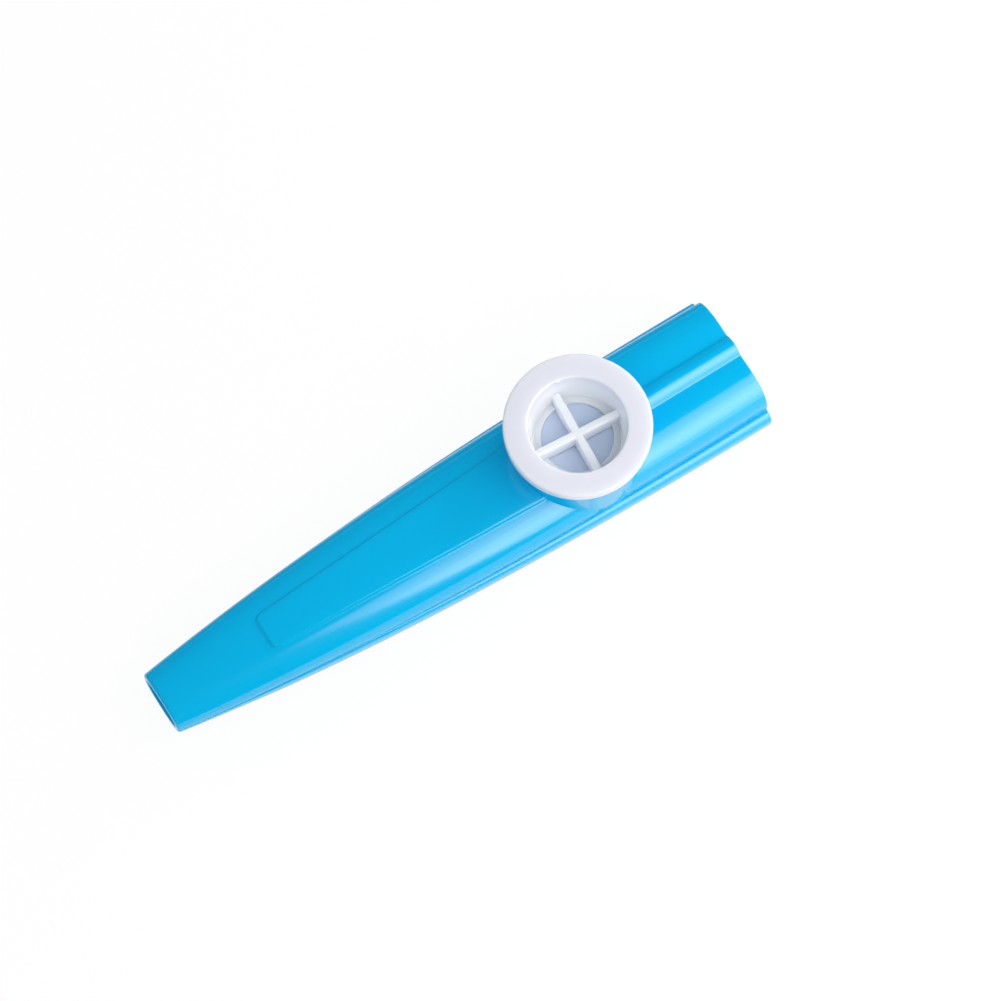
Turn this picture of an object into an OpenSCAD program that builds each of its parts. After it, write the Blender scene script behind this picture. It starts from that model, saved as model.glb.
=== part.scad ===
// Kazoo: a tapered two-shell body with a turret that holds a film diaphragm under a push-fit cap.
// Millimetres. X runs from the mouth to the wide end, Z is up, and the body lies on Z = 0.
// The origin is under the middle of the body.

/* [Body] */
// Length from the mouth to the wide end
body_length = 120; // [105:1:150]
// Width over the lower shell at the wide end
body_width = 26.3; // [23:0.1:32]
// Depth of the lower shell below the joint line
lower_depth = 8.5; // [6.5:0.1:12]
// Height of the two lobes of the wide end above the joint line
lobe_height = 8; // [7.4:0.1:8.8]
// Thickness of the shells
wall = 1.2; // [0.9:0.05:1.6]

/* [Mouth] */
// Width of the mouth over its outside
mouth_width = 12; // [10:0.1:15]
// Height of the mouth over its outside
mouth_height = 7.6; // [6.6:0.1:10]
// Radius round the rim of the mouth
mouth_round = 0.5; // [0.2:0.05:0.8]

/* [Joint line] */
// Width of the ledge that the lower shell leaves at the wide end
ledge_width = 1.65; // [0.8:0.05:2.2]
// Radius on the outer edge of the ledge at the wide end
ledge_round = 1.45; // [0.6:0.05:1.6]
// Depth of the lip that locates the upper shell in the lower one
lip_depth = 1; // [0.5:0.1:1.8]
// Thickness of the locating lip
lip_thickness = 0.5; // [0.3:0.05:0.7]
// Clearance between the lip and its rebate
lip_gap = 0.1; // [0.05:0.01:0.2]
// Distance from each end of the body to the lip
lip_setback = 6; // [3:0.5:12]

/* [Raised panel] */
// Distance from the mouth to the panel
panel_start = 21.1; // [15:0.1:30]
// Width of the panel where it starts
panel_start_width = 7.4; // [6:0.1:9]
// Width of the panel where it meets the turret
panel_end_width = 12.6; // [9:0.1:15]
// Height of the panel over the skin
panel_rise = 0.35; // [0.2:0.05:0.6]
// Width of the sloping edge round the panel
panel_edge = 0.35; // [0.2:0.05:0.6]
// Corner radius of the panel
panel_corner = 2; // [1:0.1:2.5]

/* [Wide end] */
// Width of the middle ridge at its foot
ridge_width = 4.4; // [3.9:0.1:6]
// Height of the ridge's shoulders over its foot
ridge_rise = 1.15; // [0.8:0.05:2.2]
// Extra height of the ridge's crown in the middle
ridge_crown = 0.35; // [0.2:0.05:0.8]
// Width of each sloping side of the ridge
ridge_side = 1.2; // [0.6:0.1:1.7]
// Depth of the hollow between the lobes
valley_depth = 0.5; // [0.3:0.05:1.2]
// Reach of the hollow to each side of the middle
valley_reach = 6.5; // [4:0.1:7.5]

/* [Turret] */
// Distance from the mouth to the turret's axis
turret_from_mouth = 86.9; // [80:0.1:92]
// Outer diameter of the collar
collar_diameter = 24; // [22:0.1:25]
// Thickness of the collar's wall
collar_wall = 1.55; // [1.2:0.05:2]
// Height of the collar above the joint line
collar_height = 13.9; // [13.4:0.1:17]
// Width of the seat that the diaphragm rests on
seat_width = 2.7; // [1.5:0.1:3.5]
// Lead-in chamfer at the top of the bore
bore_chamfer = 0.3; // [0.1:0.05:0.6]

/* [Cap] */
// How far the flange reaches past the collar
flange_overhang = 1.25; // [0.5:0.05:2]
// Thickness of the flange
flange_thickness = 2.2; // [1.6:0.1:3]
// Radius on the flange's edges
flange_round = 0.6; // [0.2:0.05:0.75]
// Depth that the plug reaches into the bore
plug_depth = 5.8; // [4:0.1:5.9]
// Radial clearance of the plug in the bore
plug_gap = 0.15; // [0.1:0.01:0.3]
// Thickness of the plug's wall at the flange
plug_wall = 1.45; // [1:0.05:2]
// How much the recess narrows in radius from rim to floor
recess_draft = 1.05; // [0.5:0.05:1.5]
// Radius on the rim of the recess
recess_round = 0.4; // [0.2:0.05:0.7]
// Thickness of the floor round the window
floor_thickness = 1; // [0.7:0.1:1.6]
// Diameter of the window over the film
window_diameter = 13; // [10:0.1:14]
// Width of the two crossing bars at their foot
bar_width = 2; // [1.4:0.1:2.5]
// How far each side of a bar leans in towards its top
bar_draft = 0.35; // [0.1:0.05:0.5]
// Height of the bars above the floor
bar_rise = 2.5; // [1.2:0.1:3.5]
// Radius on the top edges of the bars
bar_round = 0.3; // [0.1:0.05:0.4]
// Turn of the cap about its axis, in degrees
cap_turn = -4; // [-45:1:45]

/* [Diaphragm] */
// Thickness of the ring that carries the film
ring_thickness = 0.8; // [0.5:0.1:1.2]
// Width of the ring's face
ring_width = 2.4; // [1.5:0.1:3]
// Radial clearance of the ring in the bore
ring_gap = 0.2; // [0.1:0.01:0.3]
// Thickness of the film
film_thickness = 0.1; // [0.05:0.01:0.2]
// Distance of the film's edge from the ring's edge
film_margin = 0.5; // [0.2:0.1:1]

/* [Hidden] */

// Overrun of every cut, and how far pieces that are fused reach into each other
overrun = 1;
// Bite that the supporting surface takes out of the rounded underside, which leaves the flat land
land_bite = 0.4;
// Place along the body where the underside reaches its full depth
land_start_share = 0.46;

// Radius on the lower shell's edge at the mouth, as a share of the rim's
seam_round_share = 0.5;

// Powers of the curves: the sides and the top in plan, the ledge, and the rounded cross-sections
side_power = 2.45;
top_power = 1.4;
ledge_power = 1.2;
mouth_section_power = 2.3;
body_section_power = 2.6;
lobe_section_power = 3.2;
under_section_power = 3;

// The change from the panelled section to the lobed one happens under the turret
blend_reach_share = 0.5;

body_colour = [0, 0.69, 0.92];
cap_colour = [0.9, 0.91, 0.95];
film_colour = [0.78, 0.83, 0.93];
ring_colour = [0.86, 0.88, 0.92];

round_fn = 96;
arc_steps = 6;
outer_steps = 12;
crown_steps = 3;
cavity_steps = 10;
under_steps = 12;
mouth_steps = 3;
ledge_steps = 4;
nose_steps = 6;
panel_steps = 11;
turret_steps = 8;
tail_steps = 4;
lip_steps = 18;

collar_r = collar_diameter / 2;
bore_r = collar_r - collar_wall;
flange_r = collar_r + flange_overhang;
plug_r = bore_r - plug_gap;
recess_r = plug_r - plug_wall;
recess_floor_r = recess_r - recess_draft;
window_r = window_diameter / 2;
seat_hole_r = bore_r - seat_width;
ring_r = bore_r - ring_gap;
film_r = ring_r - film_margin;

// Heights above the joint line, from the top down
cap_top = collar_height + flange_thickness;
cap_foot = collar_height - plug_depth;
film_foot = cap_foot - film_thickness;
seat_height = film_foot - ring_thickness;

blend_reach = collar_r * blend_reach_share;
skirt = lip_depth + overrun;

function lerp(a, b, t) = a + (b - a) * t;
function clamp01(t) = max(0, min(1, t));
function smooth(t) = clamp01(t) ^ 2 * (3 - 2 * clamp01(t));
function along(x) = clamp01(x / body_length);
function spaced(from, to, count) = [for (i = [0 : count - 1]) lerp(from, to, i / count)];

// How far a swelling curve has risen at x, as a share of its whole rise
function swell(x, power) = 1 - (1 - along(x)) ^ power;

// 0 where the body has its panel, 1 where it has its lobes and ridge
function lobed(x) = smooth((x - turret_from_mouth + blend_reach) / (2 * blend_reach));

// Height of an oval section's edge at a share of its half width
function oval(share, power) = (1 - min(1, abs(share)) ^ power) ^ (1 / power);

// How far the rounding of the mouth's rim draws the skin in
function rim_inset(x) = mouth_round - sqrt(mouth_round ^ 2 - (mouth_round - min(x, mouth_round)) ^ 2);

function half_width(x) = lerp(mouth_width / 2, body_width / 2, swell(x, side_power));
function ledge(x) = ledge_width * along(x) ^ ledge_power;
function upper_half(x) = half_width(x) - ledge(x);
// Radius on the ledge's outer edge, which grows with the ledge
function edge_round(x) = lerp(mouth_round * seam_round_share, min(ledge_round, ledge_width), along(x) ^ ledge_power);
function top_height(x) = lerp(mouth_height / 2, lobe_height, swell(x, top_power));
function section_power(x) =
    lerp(lerp(mouth_section_power, body_section_power, clamp01(x / panel_start)), lobe_section_power, lobed(x));
function under_depth(x) =
    let (t = clamp01(x / (land_start_share * body_length)))
    lerp(lower_depth + land_bite, mouth_height / 2, (1 - t) ^ 2);
function under_power(x) = lerp(mouth_section_power, under_section_power, clamp01(x / panel_start));

// Height of the upper skin at (x, y), without its panel or ridge, drawn in by inset
function skin(x, y, inset) =
    (top_height(x) - inset) * oval(y / (upper_half(x) - inset), section_power(x))
    - valley_depth * lobed(x) * (1 - smooth(abs(y) / valley_reach));

// The panel: half its width with its corners rounded, and how far up its front edge x lies
function panel_line(x) =
    lerp(panel_start_width, panel_end_width,
         clamp01((x - panel_start) / (turret_from_mouth - collar_r - panel_start))) / 2;
function panel_half(x) =
    let (past = max(0, min(panel_corner, x - panel_start)))
    panel_line(x) - panel_corner + sqrt(panel_corner ^ 2 - (panel_corner - past) ^ 2);
function panel_front(x) = clamp01((x - panel_start) / panel_edge);

// Foot, side, rise and crown of what stands on the skin: the panel, and past the turret the ridge
function foot_half(x) = lerp(panel_half(x), ridge_width / 2, lobed(x));
function side_run(x) = lerp(panel_edge, ridge_side, lobed(x));
function rise(x) = lerp(panel_rise * panel_front(x), ridge_rise, lobed(x));
function crown(x) = ridge_crown * lobed(x);

// Half an upper cross-section as [y, z], from the joint line to just short of the middle
function upper_half_ring(x, inset) =
    let (half = upper_half(x) - inset, foot = foot_half(x), top = foot - side_run(x))
    concat(
        [for (i = [0 : outer_steps])
            let (y = lerp(foot, half, cos(90 * i / outer_steps)))
            [y, skin(x, y, inset)]],
        [for (j = [0 : crown_steps - 1])
            let (y = top * (1 - j / crown_steps))
            [y, skin(x, y, inset) + rise(x) + crown(x) * (1 - (y / top) ^ 2)]]
    );

function cavity_half_ring(x) =
    [for (i = [0 : cavity_steps - 1])
        let (y = (upper_half(x) - wall) * cos(90 * i / cavity_steps))
        [y, skin(x, y, wall)]];

// Half a lower cross-section, from the joint line round the ledge's edge and down the side
function lower_half_ring(x) =
    let (half = half_width(x) - rim_inset(x), depth = under_depth(x) - rim_inset(x), r = edge_round(x))
    concat(
        [for (i = [0 : ledge_steps - 1])
            [half - r * (1 - sin(90 * i / ledge_steps)), -r * (1 - cos(90 * i / ledge_steps))]],
        [for (i = [0 : under_steps - 1])
            let (y = half * cos(90 * i / under_steps))
            [y, -r - (depth - r) * oval(y / half, under_power(x))]]
    );

function lower_cavity_half_ring(x) =
    let (half = upper_half(x) - wall, depth = min(lower_depth, under_depth(x)) - wall)
    [for (i = [0 : cavity_steps - 1])
        let (y = half * cos(90 * i / cavity_steps))
        [y, -depth * oval(y / half, under_power(x))]];

// A whole ring at place x: a half ring, its middle point, its mirror image and a skirt past the joint line
function whole_ring(x, half_ring, middle, skirt_z) =
    let (last = len(half_ring) - 1, half = half_ring[0][0])
    concat(
        [[x, 0, skirt_z], [x, half, skirt_z]],
        [for (p = half_ring) [x, p[0], p[1]]],
        [[x, 0, middle]],
        [for (i = [0 : last]) [x, -half_ring[last - i][0], half_ring[last - i][1]]],
        [[x, -half, skirt_z]]
    );

// Places along the body
main_places = concat(
    spaced(mouth_round, panel_start, nose_steps),
    spaced(panel_start + panel_corner, turret_from_mouth - blend_reach, panel_steps),
    spaced(turret_from_mouth - blend_reach, turret_from_mouth + blend_reach, turret_steps),
    spaced(turret_from_mouth + blend_reach, body_length, tail_steps),
    [body_length]
);
rim_places = [for (i = [0 : mouth_steps - 1]) mouth_round * (1 - cos(90 * i / mouth_steps))];
corner_places = [panel_start, panel_start + panel_edge, panel_start + panel_corner / 2];
function sorted(list) =
    len(list) < 2 ? list :
    let (pivot = list[0])
    concat(sorted([for (v = list) if (v < pivot) v]), [pivot], sorted([for (v = list) if (v > pivot) v]));
skin_places = sorted(concat(rim_places, main_places, corner_places));
cavity_places = concat([0], main_places);

// A solid through rings of equally many points, each ring seen whole from its first point
module loft(rings, flipped = false) {
    count = len(rings[0]);
    last = len(rings) - 1;
    points = [for (ring = rings) each ring];
    sides = [for (r = [0 : last - 1], i = [0 : count - 1])
        let (a = r * count + i, b = r * count + (i + 1) % count)
        each [[a, b + count, b], [a, a + count, b + count]]];
    ends = [
        [for (i = [0 : count - 1]) i],
        [for (i = [0 : count - 1]) last * count + (count - i) % count]
    ];
    faces = concat(sides, ends);
    polyhedron(points, flipped ? [for (f = faces) [for (i = [len(f) - 1 : -1 : 0]) f[i]]] : faces);
}

// Rings of a cavity run past both ends of the body
function past_ends(x) = x <= 0 ? -overrun : x >= body_length ? body_length + overrun : x;

module upper_skin() {
    loft([for (x = skin_places)
        whole_ring(x, upper_half_ring(x, rim_inset(x)), skin(x, 0, rim_inset(x)) + rise(x) + crown(x), -skirt)]);
}

module upper_cavity() {
    loft([for (x = cavity_places)
        whole_ring(past_ends(x), cavity_half_ring(x), skin(x, 0, wall), -skirt - overrun)]);
}

module lower_skin() {
    loft([for (x = skin_places)
        whole_ring(x, lower_half_ring(x), -under_depth(x) + rim_inset(x), skirt)], true);
}

module lower_cavity() {
    loft([for (x = cavity_places)
        whole_ring(past_ends(x), lower_cavity_half_ring(x),
                   wall - min(lower_depth, under_depth(x)), skirt)], true);
}

// A strip along the inner edge of the joint: the lip of the upper shell, or with a gap its rebate
module lip_strip(side, gap) {
    loft([for (x = concat(spaced(lip_setback - gap, body_length - lip_setback + gap, lip_steps),
                          [body_length - lip_setback + gap]))
        let (edge = upper_half(x) - wall, inner = edge - overrun, outer = edge + lip_thickness + gap)
        [[x, side * inner, -lip_depth - gap], [x, side * outer, -lip_depth - gap],
         [x, side * outer, lip_thickness], [x, side * inner, lip_thickness]]], side < 0);
}

// The room below or above a height, wider and longer than the body
module half_space(from, to) {
    translate([-overrun, -body_width, from])
        cube([body_length + 2 * overrun, 2 * body_width, to - from]);
}

// Points of an arc, for the outlines that are turned about the turret's axis
function arc(centre, r, from, to) =
    [for (i = [0 : arc_steps]) let (a = lerp(from, to, i / arc_steps)) centre + r * [cos(a), sin(a)]];

module at_turret(height) {
    translate([turret_from_mouth, 0, height]) children();
}

// Puts what is drawn from the mouth and the joint line where the part stands
module stand() {
    translate([-body_length / 2, 0, lower_depth]) children();
}

module upper_shell() {
    color(body_colour) stand() difference() {
        union() {
            difference() {
                union() {
                    upper_skin();
                    at_turret(-skirt) cylinder(r = collar_r, h = collar_height + skirt, $fn = round_fn);
                }
                half_space(-skirt - overrun, 0);
            }
            for (side = [-1, 1]) lip_strip(side, 0);
        }
        upper_cavity();
        at_turret(seat_height) cylinder(r = bore_r, h = collar_height - seat_height + overrun, $fn = round_fn);
        at_turret(collar_height - bore_chamfer)
            cylinder(r1 = bore_r, r2 = bore_r + 2 * bore_chamfer, h = 2 * bore_chamfer, $fn = round_fn);
        at_turret(0) cylinder(r = seat_hole_r, h = seat_height + overrun, $fn = round_fn);
    }
}

module lower_shell() {
    color(body_colour) stand() difference() {
        lower_skin();
        half_space(0, skirt + overrun);
        half_space(-lower_depth - overrun, -lower_depth);
        lower_cavity();
        for (side = [-1, 1]) lip_strip(side, lip_gap);
    }
}

// Outline of the cap from its axis outwards: window, floor, recess wall, flange and plug
module cap_outline() {
    floor_top = cap_foot + floor_thickness;
    polygon(concat(
        [[window_r, cap_foot], [window_r, floor_top], [recess_floor_r, floor_top]],
        arc([recess_r + recess_round, cap_top - recess_round], recess_round, 180, 90),
        arc([flange_r - flange_round, cap_top - flange_round], flange_round, 90, 0),
        [[flange_r, collar_height + flange_round / 2], [flange_r - flange_round / 2, collar_height]],
        [[plug_r, collar_height], [plug_r, cap_foot]]
    ));
}

// One bar of the cross, with leaning sides and a rounded top, reaching into the wall of the recess
module bar() {
    top = cap_foot + floor_thickness + bar_rise;
    top_half = bar_width / 2 - bar_draft;
    r = min(bar_round, top_half / 2);
    reach = (recess_r + plug_r) / 2;
    rotate([90, 0, 90]) linear_extrude(2 * reach, center = true) polygon(concat(
        [[-bar_width / 2, cap_foot], [bar_width / 2, cap_foot]],
        arc([top_half - r, top - r], r, 0, 90),
        arc([r - top_half, top - r], r, 90, 180)
    ));
}

module cap() {
    color(cap_colour) stand() at_turret(0) rotate([0, 0, cap_turn]) {
        rotate_extrude($fn = round_fn) cap_outline();
        for (turn = [0, 90]) rotate([0, 0, turn]) bar();
    }
}

module membrane() {
    color(film_colour) stand() at_turret(film_foot)
        cylinder(r = film_r, h = film_thickness, $fn = round_fn);
}

module membrane_ring() {
    color(ring_colour) stand() at_turret(seat_height) difference() {
        cylinder(r = ring_r, h = ring_thickness, $fn = round_fn);
        translate([0, 0, -overrun])
            cylinder(r = ring_r - ring_width, h = ring_thickness + 2 * overrun, $fn = round_fn);
    }
}

upper_shell();
lower_shell();
cap();
membrane();
membrane_ring();
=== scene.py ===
"""Looks of a moulded plastic kazoo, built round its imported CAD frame.

The two shells, the turret cap and the diaphragm are rebuilt from the CAD's own rules with finer steps
and with the small radii that a mould leaves, dressed as the plastics they are made of, and set on a
white studio floor. Sizes are in millimetres until a mesh is made, and the scene is in metres.
"""

from __future__ import annotations

import logging
import math
from dataclasses import dataclass
from enum import Enum
from functools import partial
from typing import Callable, Iterable, Sequence

import bpy
import numpy as np
from mathutils import Matrix, Vector

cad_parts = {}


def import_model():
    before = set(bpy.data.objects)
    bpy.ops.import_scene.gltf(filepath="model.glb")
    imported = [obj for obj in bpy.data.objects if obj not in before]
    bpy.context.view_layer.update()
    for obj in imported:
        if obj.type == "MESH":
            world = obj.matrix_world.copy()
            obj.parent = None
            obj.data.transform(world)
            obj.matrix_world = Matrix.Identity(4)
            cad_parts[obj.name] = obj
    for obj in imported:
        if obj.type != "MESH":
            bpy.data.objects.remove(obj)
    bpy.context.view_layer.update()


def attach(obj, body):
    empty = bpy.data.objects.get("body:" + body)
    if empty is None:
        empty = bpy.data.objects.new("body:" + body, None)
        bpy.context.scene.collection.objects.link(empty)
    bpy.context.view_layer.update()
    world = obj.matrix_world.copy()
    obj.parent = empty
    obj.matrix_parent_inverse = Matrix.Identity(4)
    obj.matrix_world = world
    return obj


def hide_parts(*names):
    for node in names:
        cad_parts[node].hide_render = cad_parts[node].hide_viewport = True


LOG = logging.getLogger("kazoo")
MM = 0.001
# Height of the joint between the shells, from the ground
JOINT_LINE = 8.5
# Place of the turret's axis along the body, and heights over the joint line of its seat and collar
AXIS_X = 26.9
SEAT_HEIGHT = 7.2
COLLAR_HEIGHT = 13.9

Point = tuple[float, float]
Number = np.ndarray | float
Ring = np.ndarray
Piece = bpy.types.Object
Material = bpy.types.Material
Socket = bpy.types.NodeSocket
AddNode = Callable[..., bpy.types.bpy_prop_collection]


class Body(Enum):
    """Bodies of the CAD frame that a piece can ride on."""

    SHELLS = "body"
    DIAPHRAGM = "diaphragm"
    CAP = "turret_cap"


class Slot(Enum):
    """Material slots of the record."""

    SHELL = "body_plastic"
    CAP = "cap_plastic"
    FILM = "membrane_film"
    RING = "ring_plastic"


class Cut(Enum):
    """What a solid does to the solid it is joined with."""

    ADD = "UNION"
    REMOVE = "DIFFERENCE"


# Small helpers


def smooth(t: Number) -> Number:
    """Smoothstep of t, held between 0 and 1."""
    t = np.clip(t, 0.0, 1.0)
    return t * t * (3 - 2 * t)


def lerp(a: Number, b: Number, t: Number) -> Number:
    """Value that lies the share t of the way from a to b."""
    return a + (b - a) * t


def hold(t: float) -> float:
    """The value t, held between 0 and 1."""
    return min(1.0, max(0.0, t))


def quarter(steps: int) -> np.ndarray:
    """Cosines of a quarter turn in even steps, from 1 down, without the 0 at its end."""
    return np.cos(np.radians(90 * np.arange(steps) / steps))


def rounded(steps: int) -> list[float]:
    """Shares of a radius at which a rounding takes its rings, from 0 to 1."""
    return [1 - math.cos(math.radians(90 * i / steps)) for i in range(steps + 1)]


def linear(hex_colour: str) -> tuple[float, float, float, float]:
    """Turn an sRGB hex value into the linear colour that a shader takes.

    Args:
        hex_colour: Six hex digits, such as "00B8F0".

    Returns:
        Linear red, green and blue, and full alpha.
    """
    values = [int(hex_colour[i : i + 2], 16) / 255 for i in (0, 2, 4)]
    r, g, b = (v / 12.92 if v <= 0.04045 else ((v + 0.055) / 1.055) ** 2.4 for v in values)
    return r, g, b, 1.0


def add_node(
    tree: bpy.types.NodeTree, kind: str, inputs: dict | None = None, **settings: object
) -> bpy.types.bpy_prop_collection:
    """Add a node to a tree, with its settings, its values and its links.

    Args:
        tree: Shader or geometry node tree.
        kind: Blender's name for the kind of node.
        inputs: Value or output socket for each input, by the input's name or number.
        **settings: Attributes of the node, set before its inputs.

    Returns:
        The outputs of the new node.
    """
    node = tree.nodes.new(kind)
    for name, value in settings.items():
        setattr(node, name, value)
    for key, value in (inputs or {}).items():
        if isinstance(value, Socket):
            tree.links.new(value, node.inputs[key])
        else:
            node.inputs[key].default_value = value
    return node.outputs


def bare_nodes(owner: Material | bpy.types.World) -> AddNode:
    """Empty the node tree of a material or the world.

    Args:
        owner: What holds the tree.

    Returns:
        The call that adds a node to the tree.
    """
    owner.use_nodes = True
    owner.node_tree.nodes.clear()
    return partial(add_node, owner.node_tree)


def new_object(
    name: str, points: np.ndarray, faces: Sequence[Sequence[int]], edges: Sequence[tuple[int, int]] = ()
) -> Piece:
    """Make a mesh object at the origin from points in millimetres.

    Args:
        name: Name of the object and its mesh.
        points: Array of N by 3 places in millimetres.
        faces: Corner numbers of each face, anticlockwise from outside.
        edges: Pairs of corner numbers, for an outline that has no faces.

    Returns:
        The object, linked to the scene.
    """
    mesh = bpy.data.meshes.new(name)
    mesh.from_pydata((np.asarray(points) * MM).tolist(), list(edges), [list(f) for f in faces])
    mesh.update()
    piece = bpy.data.objects.new(name, mesh)
    bpy.context.scene.collection.objects.link(piece)
    return piece


def loft(name: str, rings: Sequence[Ring]) -> Piece:
    """Join rings of equally many points into a closed solid.

    Args:
        name: Name of the object.
        rings: Arrays of places, each ring running the same way round.

    Returns:
        The solid, with its faces turned outwards.
    """
    count, last = len(rings[0]), len(rings) - 1
    faces = []
    for r in range(last):
        for i in range(count):
            a, b = r * count + i, r * count + (i + 1) % count
            faces.append((a, b, b + count, a + count))
    faces.append(tuple(range(count - 1, -1, -1)))
    faces.append(tuple(last * count + i for i in range(count)))
    piece = new_object(name, np.concatenate(rings), faces)
    turn_outwards(piece)
    return piece


def turn_outwards(piece: Piece) -> None:
    """Turn the faces of a closed mesh outwards where its volume comes out negative.

    Args:
        piece: Object with a closed mesh.
    """
    mesh = piece.data
    mesh.calc_loop_triangles()
    co = np.array([v.co for v in mesh.vertices], float)
    tri = np.array([t.vertices for t in mesh.loop_triangles])
    a, b, c = co[tri[:, 0]], co[tri[:, 1]], co[tri[:, 2]]
    if np.einsum("ij,ij->i", a, np.cross(b, c)).sum() < 0:
        mesh.flip_normals()


def stack_circles(name: str, axis: Point, circles: Sequence[Point], steps: int) -> Piece:
    """Loft circles that stand over each other into a closed solid.

    Args:
        name: Name of the object.
        axis: Place (x, y) of the upright axis, in millimetres.
        circles: Height and radius of each circle, from the foot up.
        steps: Number of sides.

    Returns:
        The solid.
    """
    turn = np.linspace(0, 2 * np.pi, steps, endpoint=False)
    rings = [
        np.stack([axis[0] + r * np.cos(turn), axis[1] + r * np.sin(turn), np.full(steps, z)], 1)
        for z, r in circles
    ]
    return loft(name, rings)


def combine(piece: Piece, tool: Piece, how: Cut) -> None:
    """Join a solid to a piece or cut it out, and delete the solid.

    Args:
        piece: Object that is changed.
        tool: Closed solid that is used up.
        how: Whether the solid is added or removed.
    """
    modifier = piece.modifiers.new("cut", "BOOLEAN")
    modifier.operation = how.value
    modifier.solver = "MANIFOLD"
    modifier.object = tool
    bake(piece)
    mesh = tool.data
    bpy.data.objects.remove(tool)
    bpy.data.meshes.remove(mesh)


def bake(piece: Piece) -> None:
    """Replace a piece's mesh by what its modifiers make of it, and drop them.

    Args:
        piece: Object with modifiers.
    """
    graph = bpy.context.evaluated_depsgraph_get()
    graph.update()
    mesh = bpy.data.meshes.new_from_object(piece.evaluated_get(graph))
    piece.modifiers.clear()
    old = piece.data
    piece.data = mesh
    mesh.name = piece.name
    if old.users == 0:
        bpy.data.meshes.remove(old)


def stand(piece: Piece, x: float, crease_degrees: float) -> None:
    """Move a piece to its place in the frame and shade it smooth, apart from its sharp edges.

    Args:
        piece: Object whose heights start at the joint line.
        x: Where its own zero lies along the body, in millimetres.
        crease_degrees: Angle between faces past which their edge is sharp.
    """
    mesh = piece.data
    mesh.transform(Matrix.Translation(Vector((x, 0, JOINT_LINE)) * MM))
    mesh.polygons.foreach_set("use_smooth", [True] * len(mesh.polygons))
    mesh.set_sharp_from_angle(angle=math.radians(crease_degrees))
    mesh.update()


def settle(piece: Piece, body: Body, material: Material, node: str) -> None:
    """Dress a piece, put it on its body and hide the CAD node that it stands for.

    Args:
        piece: Finished mesh object.
        body: Body that it rides on.
        material: Its finish.
        node: CAD node that it replaces.
    """
    piece.data.materials.clear()
    piece.data.materials.append(material)
    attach(piece, body.value)
    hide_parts(node)
    LOG.info("%s: %d faces, rides on %s", piece.name, len(piece.data.polygons), body.value)


def arc(centre: Point, r: float, start: float, end: float, steps: int) -> list[Point]:
    """Points of an arc, with its angles in degrees."""
    turns = [math.radians(lerp(start, end, i / steps)) for i in range(steps + 1)]
    return [(centre[0] + r * math.cos(a), centre[1] + r * math.sin(a)) for a in turns]


# Finishes


@dataclass(frozen=True)
class MouldedGloss:
    """Finish of an injection-moulded plastic with a polished skin.

    The mould's polish gives it one clear coat-like reflection, the cooling gives a barely uneven skin
    that bends reflections, and the pigment flows in faint streaks along the part. Down in a recess a
    lighter colour can be painted on, as painted light.
    """

    name: str
    base: str
    streak: str
    roughness: float
    ior: float
    specular: float
    streak_mm: float
    ripple_mm: float
    ripple_depth_mm: float
    grain_mm: float
    grain_depth_mm: float
    glow: float = 0.0
    glow_mm: float = 1.0
    # Painted light: a lighter colour painted down in a recess, between two heights
    painted_recess_light: str = ""
    painted_light_from_mm: float = 0.0
    painted_light_to_mm: float = 0.0
    streak_squeeze: float = 0.2
    dullest: float = 1.25
    shiniest: float = 0.8

    def build(self) -> Material:
        """Make the node material.

        Returns:
            The material.
        """
        material = bpy.data.materials.new(self.name)
        add = bare_nodes(material)
        place = add("ShaderNodeTexCoord")["Object"]
        # Streaks lie along the body, because the plastic flows from the gate towards both ends
        along = add("ShaderNodeMapping", {"Vector": place, "Scale": (self.streak_squeeze, 1.0, 1.0)})["Vector"]
        noise = {"Vector": along, "Scale": 1 / (self.streak_mm * MM), "Detail": 3.0, "Roughness": 0.5}
        streaks = add("ShaderNodeTexNoise", noise)["Fac"]
        colours = {"Factor": streaks, 6: linear(self.base), 7: linear(self.streak)}
        pigment = add("ShaderNodeMix", colours, data_type="RGBA")[2]
        if self.painted_recess_light:
            # Down in the recess the pigment turns to a lighter, bluer colour: painted light that brightens the
            # recess's shade
            height = add("ShaderNodeSeparateXYZ", {"Vector": place})["Z"]
            reach = {"Value": height, "From Min": self.painted_light_from_mm * MM, "From Max": self.painted_light_to_mm * MM}
            share = add("ShaderNodeMapRange", reach, interpolation_type="SMOOTHSTEP")["Result"]
            colours = {"Factor": share, 6: pigment, 7: linear(self.painted_recess_light)}
            pigment = add("ShaderNodeMix", colours, data_type="RGBA")[2]
        low, high = self.roughness * self.shiniest, self.roughness * self.dullest
        polish = add("ShaderNodeMapRange", {"Value": streaks, "To Min": low, "To Max": high})["Result"]
        skin = None
        ripple, grain = (self.ripple_mm, self.ripple_depth_mm, 1.0), (self.grain_mm, self.grain_depth_mm, 2.0)
        for size, depth, detail in (ripple, grain):
            noise = {"Vector": place, "Scale": 1 / (size * MM), "Detail": detail}
            relief = add("ShaderNodeTexNoise", noise)["Fac"]
            bump = {"Height": relief, "Distance": depth * MM, "Strength": 1.0}
            if skin is not None:
                bump["Normal"] = skin
            skin = add("ShaderNodeBump", bump)["Normal"]
        surface = {
            "Base Color": pigment,
            "Roughness": polish,
            "Normal": skin,
            "IOR": self.ior,
            "Specular IOR Level": self.specular,
            "Subsurface Weight": self.glow,
            "Subsurface Radius": (1.0, 1.0, 1.0),
            "Subsurface Scale": self.glow_mm * MM,
        }
        shader = add("ShaderNodeBsdfPrincipled", surface)["BSDF"]
        add("ShaderNodeOutputMaterial", {"Surface": shader})
        return material


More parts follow.
